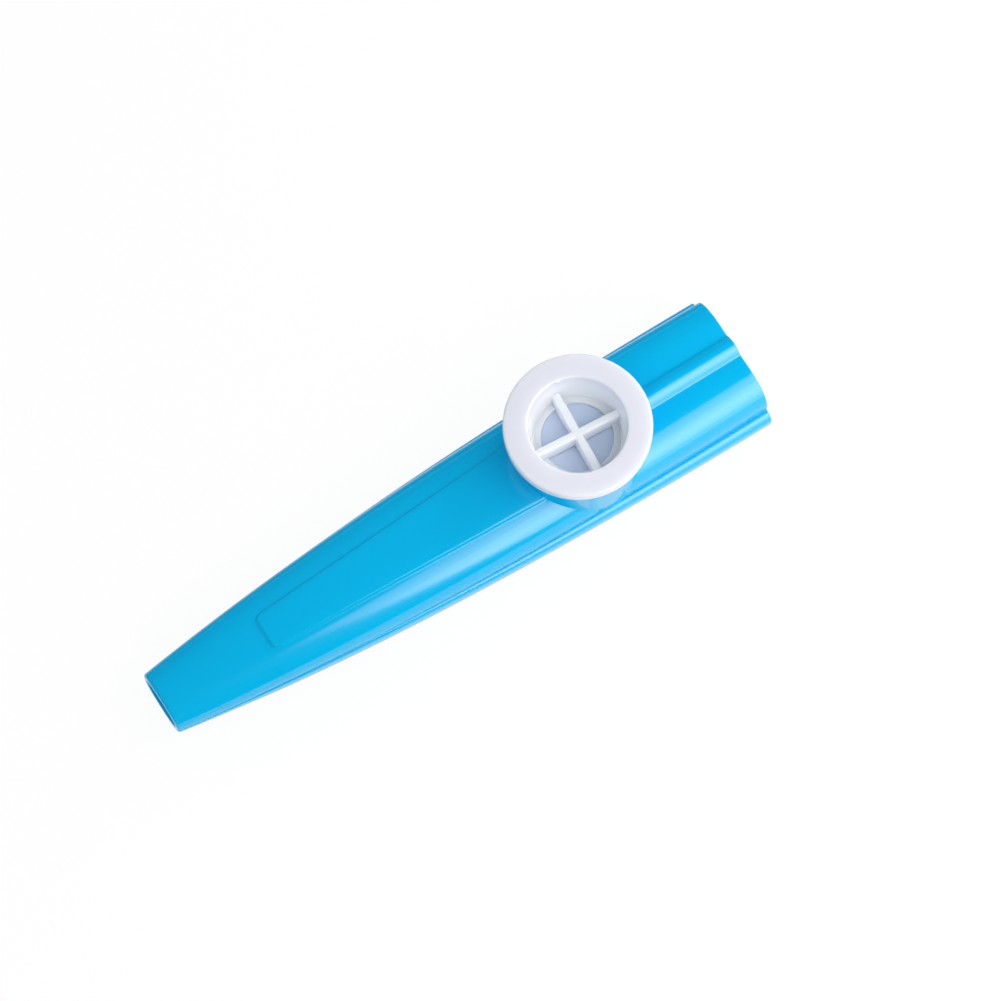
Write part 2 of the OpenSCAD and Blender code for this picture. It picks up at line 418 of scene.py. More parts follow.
@dataclass(frozen=True)
class ThinFilm:
    """Finish of a thin milky plastic film: a soft sheen, faint clouds and stretch lines."""

    name: str = "milky_polyethylene_film"
    base: str = "CEDCF2"
    deep: str = "C3D3EC"
    roughness: float = 0.38
    ior: float = 1.51
    cloud_mm: float = 3.0
    line_mm: float = 1.5
    line_squeeze: float = 0.3
    line_depth_mm: float = 0.02
    line_strength: float = 0.6

    def build(self) -> Material:
        """Make the node material.

        Returns:
            The material.
        """
        material = bpy.data.materials.new(self.name)
        add = bare_nodes(material)
        place = add("ShaderNodeTexCoord")["Object"]
        noise = {"Vector": place, "Scale": 1 / (self.cloud_mm * MM), "Detail": 3.0}
        clouds = add("ShaderNodeTexNoise", noise)["Fac"]
        colours = {"Factor": clouds, 6: linear(self.base), 7: linear(self.deep)}
        colour = add("ShaderNodeMix", colours, data_type="RGBA")[2]
        along = add("ShaderNodeMapping", {"Vector": place, "Scale": (self.line_squeeze, 1.0, 1.0)})["Vector"]
        noise = {"Vector": along, "Scale": 1 / (self.line_mm * MM), "Detail": 2.0}
        lines = add("ShaderNodeTexNoise", noise)["Fac"]
        bump = {"Height": lines, "Distance": self.line_depth_mm * MM, "Strength": self.line_strength}
        skin = add("ShaderNodeBump", bump)["Normal"]
        surface = {"Base Color": colour, "Roughness": self.roughness, "Normal": skin, "IOR": self.ior}
        shader = add("ShaderNodeBsdfPrincipled", surface)["BSDF"]
        add("ShaderNodeOutputMaterial", {"Surface": shader})
        return material


# Cyan polystyrene, moulded in a polished tool: mirror-like highlights over a deep even colour
SHELL_PLASTIC = MouldedGloss(
    name="cyan_moulded_polystyrene",
    base="00B4EA",
    streak="00B0E6",
    roughness=0.12,
    ior=1.59,
    specular=0.55,
    streak_mm=6.0,
    ripple_mm=11.0,
    ripple_depth_mm=0.006,
    grain_mm=0.5,
    grain_depth_mm=0.0004,
)
# White polypropylene: softer skin that light sinks into, with painted light down in the recess, a lighter
# bluish colour standing for the cyan collar's light through the wall
CAP_PLASTIC = MouldedGloss(
    name="white_moulded_polypropylene",
    base="E0E1EC",
    streak="DDDEEA",
    roughness=0.17,
    ior=1.49,
    specular=0.5,
    streak_mm=5.0,
    ripple_mm=8.0,
    ripple_depth_mm=0.006,
    grain_mm=0.4,
    grain_depth_mm=0.0008,
    glow=0.7,
    glow_mm=2.5,
    # painted light: the recess is painted lighter and bluer than the base
    painted_recess_light="ECF1FA",
    painted_light_from_mm=24.0,
    painted_light_to_mm=21.5,
)
# Natural polypropylene ring: matt, as it comes from a plain tool
RING_PLASTIC = MouldedGloss(
    name="natural_moulded_polypropylene",
    base="DBE0EB",
    streak="D6DCE8",
    roughness=0.42,
    ior=1.49,
    specular=0.4,
    streak_mm=3.0,
    ripple_mm=6.0,
    ripple_depth_mm=0.004,
    grain_mm=0.3,
    grain_depth_mm=0.001,
)
# Polyethylene blown to a thin film: pale and soft, with faint clouds and the lines of its stretching
FILM = ThinFilm()


# The body


@dataclass(frozen=True)
class BodyForm:
    """Rules of the two shells: x from the mouth, z from the joint line, in millimetres."""

    length: float = 120.0
    width: float = 26.3
    lower_depth: float = 8.5
    lobe_height: float = 8.0
    wall: float = 1.2
    mouth_width: float = 12.0
    mouth_height: float = 7.6
    mouth_round: float = 0.5
    lip_round: float = 0.35
    tail_round: float = 0.18
    ledge_width: float = 1.65
    ledge_round: float = 1.75
    ledge_slope: float = 12.0
    mouth_seam_round: float = 0.25
    groove_slope: float = 0.22
    seam_round: float = 0.08
    joint_gap: float = 0.004
    lip_depth: float = 1.0
    lip_thickness: float = 0.5
    lip_gap: float = 0.1
    lip_setback: float = 6.0
    panel_start: float = 21.1
    panel_start_width: float = 7.4
    panel_end_width: float = 12.6
    panel_rise: float = 0.35
    panel_edge: float = 0.6
    panel_front: float = 0.9
    panel_corner: float = 2.0
    ridge_width: float = 4.4
    ridge_rise: float = 1.5
    ridge_side: float = 1.3
    ridge_fillet: float = 0.17
    valley_depth: float = 0.5
    valley_reach: float = 6.5
    turret: float = 86.9
    collar_r: float = 12.0
    side_power: float = 2.45
    top_power: float = 1.4
    ledge_power: float = 1.2
    mouth_section_power: float = 2.3
    body_section_power: float = 2.6
    lobe_section_power: float = 3.2
    under_section_power: float = 3.0
    land_bite: float = 0.4
    land_start_share: float = 0.46
    blend_reach_share: float = 0.5

    def swell(self, x: float, power: float) -> float:
        """How far a swelling curve has risen at x, as a share of its whole rise."""
        return 1 - (1 - hold(x / self.length)) ** power

    def lobed(self, x: float) -> float:
        """0 where the body has its panel, 1 where it has its lobes and ridge."""
        reach = self.collar_r * self.blend_reach_share
        return float(smooth((x - self.turret + reach) / (2 * reach)))

    def oval(self, share: np.ndarray, power: float) -> np.ndarray:
        """Height of an oval section's edge at a share of its half width."""
        return (1 - np.minimum(1, np.abs(share)) ** power) ** (1 / power)

    def rounding(self, x: float, mouth_r: float) -> float:
        """How far the roundings of both ends move a section's edge, with the mouth's own radius.

        Args:
            x: Place along the body.
            mouth_r: Radius of the rounding at the mouth.

        Returns:
            The distance in millimetres.
        """
        total = 0.0
        for r, gap in ((mouth_r, x), (self.tail_round, self.length - x)):
            gap = min(max(gap, 0.0), r)
            total += r - math.sqrt(r**2 - (r - gap) ** 2)
        return total

    def half_width(self, x: float) -> float:
        """Half the width of the lower shell."""
        return lerp(self.mouth_width / 2, self.width / 2, self.swell(x, self.side_power))

    def upper_half(self, x: float) -> float:
        """Half the width of the upper shell, which leaves the ledge."""
        return self.half_width(x) - self.ledge_width * hold(x / self.length) ** self.ledge_power

    def edge_round(self, x: float) -> float:
        """Radius of the lower shell's edge, which grows with the ledge."""
        return lerp(self.mouth_seam_round, self.ledge_round, hold(x / self.length) ** self.ledge_power)

    def top_height(self, x: float) -> float:
        """Height of the upper skin in the middle."""
        return lerp(self.mouth_height / 2, self.lobe_height, self.swell(x, self.top_power))

    def section_power(self, x: float) -> float:
        """Fullness of the upper cross-section."""
        front = lerp(self.mouth_section_power, self.body_section_power, hold(x / self.panel_start))
        return lerp(front, self.lobe_section_power, self.lobed(x))

    def under_depth(self, x: float) -> float:
        """Depth of the rounded underside, before the flat land is cut."""
        t = hold(x / (self.land_start_share * self.length))
        return lerp(self.lower_depth + self.land_bite, self.mouth_height / 2, (1 - t) ** 2)

    def under_power(self, x: float) -> float:
        """Fullness of the lower cross-section."""
        return lerp(self.mouth_section_power, self.under_section_power, hold(x / self.panel_start))

    def skin(self, x: float, y: np.ndarray, inset: float) -> np.ndarray:
        """Height of the upper skin at (x, y), without its panel or ridge, drawn in by inset.

        Args:
            x: Place along the body.
            y: Places across the body.
            inset: How far under the skin.

        Returns:
            The heights.
        """
        oval = self.oval(y / (self.upper_half(x) - inset), self.section_power(x))
        hollow = self.valley_depth * self.lobed(x) * (1 - smooth(np.abs(y) / self.valley_reach))
        return (self.top_height(x) - inset) * oval - hollow

    def panel_half(self, x: float) -> float:
        """Half the width of the panel, with its corners rounded.

        Args:
            x: Place along the body.

        Returns:
            The half width.
        """
        run = self.turret - self.collar_r - self.panel_start
        along = hold((x - self.panel_start) / run)
        line = lerp(self.panel_start_width, self.panel_end_width, along) / 2
        past = max(0.0, min(self.panel_corner, x - self.panel_start))
        return line - self.panel_corner + math.sqrt(self.panel_corner**2 - (self.panel_corner - past) ** 2)

    def foot_half(self, x: float) -> float:
        """Half the width of what stands on the skin, at its foot."""
        return lerp(self.panel_half(x), self.ridge_width / 2, self.lobed(x))

    def side_run(self, x: float) -> float:
        """Width of the sloping side of what stands on the skin."""
        return lerp(self.panel_edge, self.ridge_side, self.lobed(x))

    def relief(self, x: float, y: np.ndarray) -> np.ndarray:
        """Height of the panel, and past the turret of the ridge, over the skin at (x, y).

        Args:
            x: Place along the body.
            y: Places across the body.

        Returns:
            The heights.
        """
        foot = self.foot_half(x)
        front = float(smooth((x - self.panel_start) / self.panel_front))
        panel = self.panel_rise * front * smooth((foot - np.abs(y)) / self.side_run(x))
        # The ridge is a parabola that runs out into the lobes over a small fillet
        bare = self.ridge_rise * (1 - (y / foot) ** 2)
        k = self.ridge_fillet
        ridge = np.maximum(bare, 0) + np.maximum(k - np.abs(bare), 0) ** 2 / (4 * k)
        return lerp(panel, ridge, self.lobed(x))


@dataclass
class Shells:
    """The upper and lower shell of the body, with the turret's collar, bore and seat.

    The form holds the rules of the body's shape. Steps and rings are how finely the lofts follow them.
    """

    form: BodyForm = BodyForm()
    collar_height: float = COLLAR_HEIGHT
    bore_r: float = 10.45
    bore_chamfer: float = 0.3
    seat_height: float = SEAT_HEIGHT
    seat_hole_r: float = 7.75
    overrun: float = 1.0
    outer_steps: int = 34
    root_reach: float = 0.25
    side_steps: int = 22
    crown_steps: int = 9
    cavity_steps: int = 26
    rim_steps: int = 12
    under_steps: int = 30
    round_steps: int = 192
    mouth_steps: int = 6
    corner_steps: int = 14
    tail_steps: int = 4
    mouth_rings: int = 28
    front_rings: int = 10
    panel_rings: int = 60
    blend_rings: int = 26
    lobe_rings: int = 34
    lip_rings: int = 60
    least_gap: float = 0.004
    crease_degrees: float = 32.0

    def places(self) -> list[float]:
        """Places along the body at which the skin has a ring, closer where it turns fast.

        Returns:
            The places in order, from the mouth on.
        """
        f = self.form
        reach = f.collar_r * f.blend_reach_share
        cuts = [f.mouth_round * share for share in rounded(self.mouth_steps)]
        cuts += [f.panel_start + f.panel_corner * share for share in rounded(self.corner_steps)]
        cuts += [f.length - f.tail_round * share for share in rounded(self.tail_steps)]
        for start, end, rings in (
            (f.mouth_round, f.panel_start, self.mouth_rings),
            (f.panel_start, f.panel_start + f.panel_front, self.front_rings),
            (f.panel_start + f.panel_corner, f.turret - reach, self.panel_rings),
            (f.turret - reach, f.turret + reach, self.blend_rings),
            (f.turret + reach, f.length - f.tail_round, self.lobe_rings),
        ):
            cuts += list(np.linspace(start, end, rings))
        cuts.sort()
        return [c for i, c in enumerate(cuts) if i == 0 or c - cuts[i - 1] > self.least_gap]

    def ring(self, x: float, y: np.ndarray, z: np.ndarray, middle: float, skirt: float) -> Ring:
        """Close half a cross-section into a whole ring with a skirt past the joint line.

        Args:
            x: Place along the body.
            y: Places across, from the joint line towards the middle.
            z: Heights at these places.
            middle: Height of the point in the middle.
            skirt: Height of the skirt.

        Returns:
            The ring's places.
        """
        across = np.concatenate([[0.0, y[0]], y, [0.0], -y[::-1], [-y[0]]])
        up = np.concatenate([[skirt, skirt], z, [middle], z[::-1], [skirt]])
        return np.stack([np.full(len(up), x), across, up], 1)

    def upper_ring(self, x: float) -> Ring:
        """Outer cross-section of the upper shell.

        Args:
            x: Place along the body.

        Returns:
            The ring's places.
        """
        f = self.form
        inset = f.rounding(x, f.mouth_round)
        half, foot, side = f.upper_half(x) - inset, f.foot_half(x), f.side_run(x)
        root = foot + self.root_reach * f.lobed(x)
        outer = root + (half - root) * quarter(self.outer_steps)
        slope = root - (root - foot + side) * np.arange(self.side_steps) / self.side_steps
        crown = (foot - side) * (1 - np.arange(self.crown_steps) / self.crown_steps)
        y = np.concatenate([outer, slope, crown])
        z = f.skin(x, y, inset) + f.relief(x, y)
        # The edge along the joint is drawn in by a small radius, which leaves the fine shadow line there
        y = y - f.seam_round * np.clip(1 - z / f.seam_round, 0, 1) ** 2
        z[0] = -f.joint_gap
        middle = float(f.skin(x, np.zeros(1), inset)[0] + f.relief(x, np.zeros(1))[0])
        return self.ring(x, y, z, middle, -f.lip_depth - self.overrun)

    def lower_ring(self, x: float) -> Ring:
        """Outer cross-section of the lower shell.

        Args:
            x: Place along the body.

        Returns:
            The ring's places.
        """
        f = self.form
        inset = f.rounding(x, f.mouth_round)
        half, depth, r = f.half_width(x) - inset, f.under_depth(x) - inset, f.edge_round(x)
        slope = math.radians(f.ledge_slope)
        rim = slope + (math.pi / 2 - slope) * np.arange(self.rim_steps) / self.rim_steps
        rim_y, rim_z = half - r * (1 - np.sin(rim)), r * (np.cos(rim) - math.cos(slope))
        edge = r * math.cos(slope)
        y = half * quarter(self.under_steps)
        z = -edge - (depth - edge) * f.oval(y / half, f.under_power(x))
        # A fine groove runs along the joint between the upper shell's foot and the ledge
        width = max(rim_y[0] - (f.upper_half(x) - inset), 0.0) + f.seam_round
        y = np.concatenate([[rim_y[0] - width], rim_y, y])
        z = np.concatenate([[-f.groove_slope * width], rim_z - f.joint_gap, z])
        return self.ring(x, y, z, -depth, f.lip_depth + self.overrun)

    def cavity(self, upper: bool) -> Piece:
        """Loft the cavity of a shell, which runs past both ends of the body.

        Args:
            upper: Whether it is the upper shell.

        Returns:
            The solid.
        """
        f, rings = self.form, []
        for x in self.places():
            wall = f.wall - f.rounding(x, f.lip_round)
            half = f.upper_half(x) - wall
            y = half * quarter(self.cavity_steps)
            if upper:
                z, middle = f.skin(x, y, wall), float(f.skin(x, np.zeros(1), wall)[0])
                skirt = -f.lip_depth - 2 * self.overrun
            else:
                middle = wall - min(f.lower_depth, f.under_depth(x))
                z, skirt = middle * f.oval(y / half, f.under_power(x)), f.lip_depth + self.overrun
            rings.append(self.ring(x, y, z, middle, skirt))
        past = (self.overrun, 0.0, 0.0)
        return loft("cavity", [rings[0] - past, *rings, rings[-1] + past])

    def lip(self, side: int, gap: float) -> Piece:
        """Strip along the inner edge of the joint: the lip, or with a gap its rebate.

        Args:
            side: -1 or 1 for the side of the body.
            gap: Room that the rebate leaves round the lip.

        Returns:
            The solid.
        """
        f = self.form
        low, high = -f.lip_depth - gap, f.lip_thickness
        rings = []
        for x in np.linspace(f.lip_setback - gap, f.length - f.lip_setback + gap, self.lip_rings):
            edge = f.upper_half(x) - f.wall
            inner, outer = edge - self.overrun, edge + f.lip_thickness + gap
            corners = ((inner, low), (outer, low), (outer, high), (inner, high))
            rings.append(np.array([(x, side * y, z) for y, z in corners]))
        return loft("lip", rings)

    def slab(self, low: float, high: float) -> Piece:
        """Flat solid wider and longer than the body, between two heights.

        Args:
            low: Its lower height.
            high: Its upper height.

        Returns:
            The solid.
        """
        f = self.form
        corners = ((-f.width, low), (f.width, low), (f.width, high), (-f.width, high))
        ends = (-self.overrun * 3, f.length + self.overrun * 3)
        return loft("slab", [np.array([(x, y, z) for y, z in corners]) for x in ends])

    def upper(self) -> Piece:
        """Build the upper shell with its collar, lip, bore and seat.

        Returns:
            The shell, along the body from the mouth at 0.
        """
        f = self.form
        low, top, c = -f.lip_depth - self.overrun, self.collar_height, self.bore_chamfer
        shell = loft("upper_shell_skin", [self.upper_ring(x) for x in self.places()])

        def turned(name: str, *circles: Point) -> Piece:
            """Solid of circles about the turret's axis."""
            return stack_circles(name, (f.turret, 0.0), circles, self.round_steps)

        combine(shell, turned("collar", (low, f.collar_r), (top, f.collar_r)), Cut.ADD)
        combine(shell, self.slab(low - self.overrun, 0), Cut.REMOVE)
        for side in (-1, 1):
            combine(shell, self.lip(side, 0.0), Cut.ADD)
        combine(shell, self.cavity(upper=True), Cut.REMOVE)
        for circles in (
            ((self.seat_height, self.bore_r), (top + self.overrun, self.bore_r)),
            ((top - c, self.bore_r), (top + c, self.bore_r + 2 * c)),
            ((0.0, self.seat_hole_r), (self.seat_height + self.overrun, self.seat_hole_r)),
        ):
            combine(shell, turned("bore", *circles), Cut.REMOVE)
        return shell

    def lower(self) -> Piece:
        """Build the lower shell with its flat land and its rebates.

        Returns:
            The shell, along the body from the mouth at 0.
        """
        f = self.form
        shell = loft("lower_shell_skin", [self.lower_ring(x) for x in self.places()])
        combine(shell, self.slab(0, f.lip_depth + 3 * self.overrun), Cut.REMOVE)
        combine(shell, self.slab(-f.lower_depth - 3 * self.overrun, -f.lower_depth), Cut.REMOVE)
        combine(shell, self.cavity(upper=False), Cut.REMOVE)
        for side in (-1, 1):
            combine(shell, self.lip(side, f.lip_gap), Cut.REMOVE)
        return shell

    def build(self) -> None:
        """Build and dress both shells."""
        material = SHELL_PLASTIC.build()
        for shell, node in ((self.upper(), "upper_shell"), (self.lower(), "lower_shell")):
            stand(shell, -self.form.length / 2, self.crease_degrees)
            settle(shell, Body.SHELLS, material, node)


# The turned pieces and the bars, made with Geometry Nodes


class OutlineTree:
    """Geometry Nodes tree that makes a solid from the outline of its section."""

    def __init__(self, name: str, inputs: dict[str, str]) -> None:
        """Start the tree.

        Args:
            name: Name of the tree.
            inputs: Kind of socket of each named input.
        """
        self.tree = bpy.data.node_groups.new(name, "GeometryNodeTree")
        self.add: AddNode = partial(add_node, self.tree)
        face = self.tree.interface
        face.new_socket("Geometry", in_out="INPUT", socket_type="NodeSocketGeometry")
        self.inputs = {
            label: face.new_socket(label, in_out="INPUT", socket_type=f"NodeSocket{kind}").identifier
            for label, kind in inputs.items()
        }
        face.new_socket("Geometry", in_out="OUTPUT", socket_type="NodeSocketGeometry")
        self.given = self.add("NodeGroupInput")
        self.outline = self.add("GeometryNodeMeshToCurve", {"Mesh": self.given["Geometry"]})["Curve"]

    def close(self, solid: Socket) -> None:
        """End the tree with its solid, the instances made real and the material set.

        Args:
            solid: Output that holds the solid.
        """
        real = self.add("GeometryNodeRealizeInstances", {"Geometry": solid})["Geometry"]
        dressed = self.add("GeometryNodeSetMaterial", {"Geometry": real, "Material": self.given["Material"]})
        self.add("NodeGroupOutput", {"Geometry": dressed["Geometry"]})

    def run(self, name: str, outline: Sequence[Point], values: dict[str, object]) -> Piece:
        """Make a piece with the tree and keep it as a plain mesh.

        Args:
            name: Name of the piece.
            outline: Points (across, up) in millimetres, going round the section.
            values: Value of each named input.

        Returns:
            The piece, with its faces turned outwards.
        """
        # A section's frame on its curve has its first axis pointing outwards and its second one down
        points = [(across, -up, 0.0) for across, up in outline]
        piece = new_object(name, points, [], [(i, (i + 1) % len(points)) for i in range(len(points))])
        modifier = piece.modifiers.new(self.tree.name, "NODES")
        modifier.node_group = self.tree
        for label, value in values.items():
            modifier[self.inputs[label]] = value
        bake(piece)
        turn_outwards(piece)
        return piece


class Lathe(OutlineTree):
    """Tree that turns an outline about the turret's axis, on a guide circle."""

    guide_r: float = 5.0

    def __init__(self) -> None:
        """Make the tree with its named inputs."""
        super().__init__("turned_piece", {"Steps": "Int", "Guide Radius": "Float", "Material": "Material"})
        circle = {"Resolution": self.given["Steps"], "Radius": self.given["Guide Radius"]}
        guide = self.add("GeometryNodeCurvePrimitiveCircle", circle)["Curve"]
        self.close(self.add("GeometryNodeCurveToMesh", {"Curve": guide, "Profile Curve": self.outline})["Mesh"])

    def turn(self, name: str, outline: Sequence[Point], steps: int, material: Material) -> Piece:
        """Turn an outline into a closed ring of a solid.

        Args:
            name: Name of the piece.
            outline: Points (radius, height) in millimetres, going round the section.
            steps: Steps round the axis.
            material: Finish that the tree sets.

        Returns:
            The piece, centred on the axis and standing at its heights.
        """
        section = [(r - self.guide_r, z) for r, z in outline]
        values = {"Steps": steps, "Guide Radius": self.guide_r * MM, "Material": material}
        return self.run(name, section, values)


class CrossBars(OutlineTree):
    """Tree that crosses equal bars over the window."""

    def __init__(self) -> None:
        """Make the tree with its named inputs."""
        kinds = {"Bars": "Int", "First Turn": "Float", "Reach": "Float", "Material": "Material"}
        super().__init__("crossed_bars", kinds)
        add, given = self.add, self.given
        far = add("ShaderNodeCombineXYZ", {"X": given["Reach"]})["Vector"]
        near = add("ShaderNodeVectorMath", {0: far, "Scale": -1.0}, operation="SCALE")["Vector"]
        rail = add("GeometryNodeCurvePrimitiveLine", {"Start": near, "End": far})["Curve"]
        swept = {"Curve": rail, "Profile Curve": self.outline, "Fill Caps": True}
        bar = add("GeometryNodeCurveToMesh", swept)["Mesh"]
        seats = add("GeometryNodeMeshLine", {"Count": given["Bars"], "Offset": (0.0, 0.0, 0.0)})["Mesh"]
        number = add("GeometryNodeInputIndex")["Index"]
        share = add("ShaderNodeMath", {0: number, 1: given["Bars"]}, operation="DIVIDE")["Value"]
        turn = {0: share, 1: math.pi, 2: given["First Turn"]}
        angle = add("ShaderNodeMath", turn, operation="MULTIPLY_ADD")["Value"]
        turned = add("ShaderNodeCombineXYZ", {"Z": angle})["Vector"]
        crossed = {"Points": seats, "Instance": bar, "Rotation": turned}
        bars = add("GeometryNodeInstanceOnPoints", crossed)["Instances"]
        # The bars run into each other where they cross, so they are fused there
        fuse = {1: bars, "Self Intersection": True}
        self.close(add("GeometryNodeMeshBoolean", fuse, operation="UNION", solver="EXACT")["Mesh"])


@dataclass
class TurretCap:
    """The push-fit cap: flange, recess, window and the crossed bars in one moulding."""

    lathe: Lathe
    axis_x: float = AXIS_X
    collar_height: float = COLLAR_HEIGHT
    flange_r: float = 13.25
    flange_thickness: float = 2.2
    flange_round: float = 0.45
    plug_r: float = 10.3
    plug_depth: float = 5.8
    plug_round: float = 0.25
    recess_r: float = 8.85
    recess_floor_r: float = 7.8
    recess_foot: float = 0.02
    recess_round: float = 0.4
    floor_thickness: float = 1.0
    floor_round: float = 0.25
    window_r: float = 6.5
    window_round: float = 0.15
    bar_width: float = 2.0
    bar_draft: float = 0.25
    bar_count: int = 2
    bar_rise: float = 2.5
    bar_round: float = 0.6
    bar_reach: float = 9.55
    draft_degrees: float = 8.0
    cap_turn: float = -4.0
    gate_turn: float = 82.0
    gate_r: float = 0.5
    gate_top: float = 0.05
    gate_height: float = 0.7
    gate_steps: int = 24
    round_steps: int = 192
    crease_degrees: float = 38.0

    def outline(self) -> list[Point]:
        """Section of the cap from the window outwards, over the flange and down the plug.

        Returns:
            Points (radius, height), going round the section.
        """
        top, foot = self.collar_height + self.flange_thickness, self.collar_height - self.plug_depth
        floor = foot + self.floor_thickness
        fr, rr, w, p = self.flange_round, self.recess_round, self.window_round, self.plug_round
        return [
            (self.window_r, foot),
            *arc((self.window_r + w, floor - w), w, 180, 90, steps=4),
            (self.recess_floor_r - self.floor_round, floor),
            (self.recess_floor_r + self.recess_foot, floor + self.floor_round),
            *arc((self.recess_r + rr, top - rr), rr, 180 - self.draft_degrees, 90, steps=8),
            *arc((self.flange_r - fr, top - fr), fr, 90, 0, steps=10),
            *arc((self.flange_r - fr / 2, self.collar_height + fr / 2), fr / 2, 0, -90, steps=6),
            (self.plug_r, self.collar_height),
            *arc((self.plug_r - p, foot + p), p, 0, -90, steps=5),
        ]

    def bar_outline(self) -> list[Point]:
        """Section of one bar: leaning sides and rounded top edges.

        Returns:
            Points (offset, height), going round the section.
        """
        foot = self.collar_height - self.plug_depth
        top = foot + self.floor_thickness + self.bar_rise
        half, r = self.bar_width / 2 - self.bar_draft, self.bar_round
        return [
            (-self.bar_width / 2, foot),
            (self.bar_width / 2, foot),
            *arc((half - r, top - r), r, self.draft_degrees, 90, steps=10),
            *arc((r - half, top - r), r, 90, 180 - self.draft_degrees, steps=10),
        ]

    def gate_mark(self) -> Piece:
        """The stub that the mould's gate left on the rim of the recess.

        Returns:
            The solid.
        """
        top, r = self.collar_height + self.flange_thickness - self.gate_top, self.gate_r
        away, turn = self.recess_r + self.recess_round / 2, math.radians(self.gate_turn)
        # A straight stub whose broken tip is rounded off in two steps
        circles = ((top - self.gate_height, r), (top - r / 3, r), (top - r / 10, r * 0.8), (top, r * 0.5))
        axis = (away * math.cos(turn), away * math.sin(turn))
        return stack_circles("gate_mark", axis, circles, self.gate_steps)

    def build(self) -> None:
        """Build and dress the cap."""
        material = CAP_PLASTIC.build()
        cap = self.lathe.turn("turret_cap_moulding", self.outline(), self.round_steps, material)
        crossing = {
            "Bars": self.bar_count,
            "First Turn": math.radians(self.cap_turn),
            "Reach": self.bar_reach * MM,
            "Material": material,
        }
        combine(cap, CrossBars().run("bars", self.bar_outline(), crossing), Cut.ADD)
        combine(cap, self.gate_mark(), Cut.ADD)
        stand(cap, self.axis_x, self.crease_degrees)
        settle(cap, Body.CAP, material, "cap")


@dataclass
class Diaphragm:
    """The film that hums, and the ring that carries it on the turret's seat."""

    lathe: Lathe
    axis_x: float = AXIS_X
    seat_height: float = SEAT_HEIGHT
    ring_r: float = 10.25
    ring_width: float = 2.4
    ring_thickness: float = 0.8
    ring_round: float = 0.12
    film_r: float = 9.75
    film_thickness: float = 0.1
    film_sag: float = 0.12
    film_core: float = 0.4
    round_steps: int = 128
    film_rings: int = 22
    rim_rings: int = 6
    crease_degrees: float = 40.0

    def ring_outline(self) -> list[Point]:
        """Section of the ring, with its four edges rounded.

        Returns:
            Points (radius, height), going round the section.
        """
        inner, outer = self.ring_r - self.ring_width, self.ring_r
        low, high, r = self.seat_height, self.seat_height + self.ring_thickness, self.ring_round
        edges = (inner + r, low + r), (inner + r, high - r), (outer - r, high - r), (outer - r, low + r)
        turns = (270, 180, 90, 0)
        return [p for edge, turn in zip(edges, turns) for p in arc(edge, r, turn, turn - 90, steps=3)]

    def film(self) -> Piece:
        """Build the film, flat on the ring and sagging a little over its hole.

        Returns:
            The closed sheet.
        """
        span, n = self.ring_r - self.ring_width, self.round_steps
        top = self.seat_height + self.ring_thickness + self.film_thickness
        radii = [
            *np.linspace(self.film_core, span, self.film_rings),
            *np.linspace(span, self.film_r, self.rim_rings)[1:],
        ]
        turns = np.linspace(0, 2 * np.pi, n, endpoint=False)
        points, faces = [], []
        for drop in (0.0, self.film_thickness):
            points.append((0.0, 0.0, top - drop - self.film_sag))
            for r in radii:
                sag = self.film_sag * (1 - min(1.0, r / span) ** 2) ** 2
                points += [(r * math.cos(a), r * math.sin(a), top - drop - sag) for a in turns]
        under = 1 + len(radii) * n
        for base, flip in ((0, False), (under, True)):
            for i in range(n):
                j = (i + 1) % n
                fan = (base, base + 1 + i, base + 1 + j)
                faces.append(fan[::-1] if flip else fan)
                for k in range(len(radii) - 1):
                    a, b = base + 1 + k * n, base + 1 + (k + 1) * n
                    quad = (a + i, b + i, b + j, a + j)
                    faces.append(quad[::-1] if flip else quad)
        rim, low_rim = 1 + (len(radii) - 1) * n, under + 1 + (len(radii) - 1) * n
        faces += [(rim + i, low_rim + i, low_rim + (i + 1) % n, rim + (i + 1) % n) for i in range(n)]
        piece = new_object("film_membrane", np.array(points), faces)
        turn_outwards(piece)
        return piece

    def build(self) -> None:
        """Build and dress the ring and the film."""
        moulded, milky = RING_PLASTIC.build(), FILM.build()
        ring = self.lathe.turn("film_carrier_ring", self.ring_outline(), self.round_steps, moulded)
        for piece, slot, material, node in (
            (ring, Slot.RING, moulded, "membrane_ring"),
            (self.film(), Slot.FILM, milky, "membrane"),
        ):
            stand(piece, self.axis_x, self.crease_degrees)
            settle(piece, Body.DIAPHRAGM, material, node)


# The studio


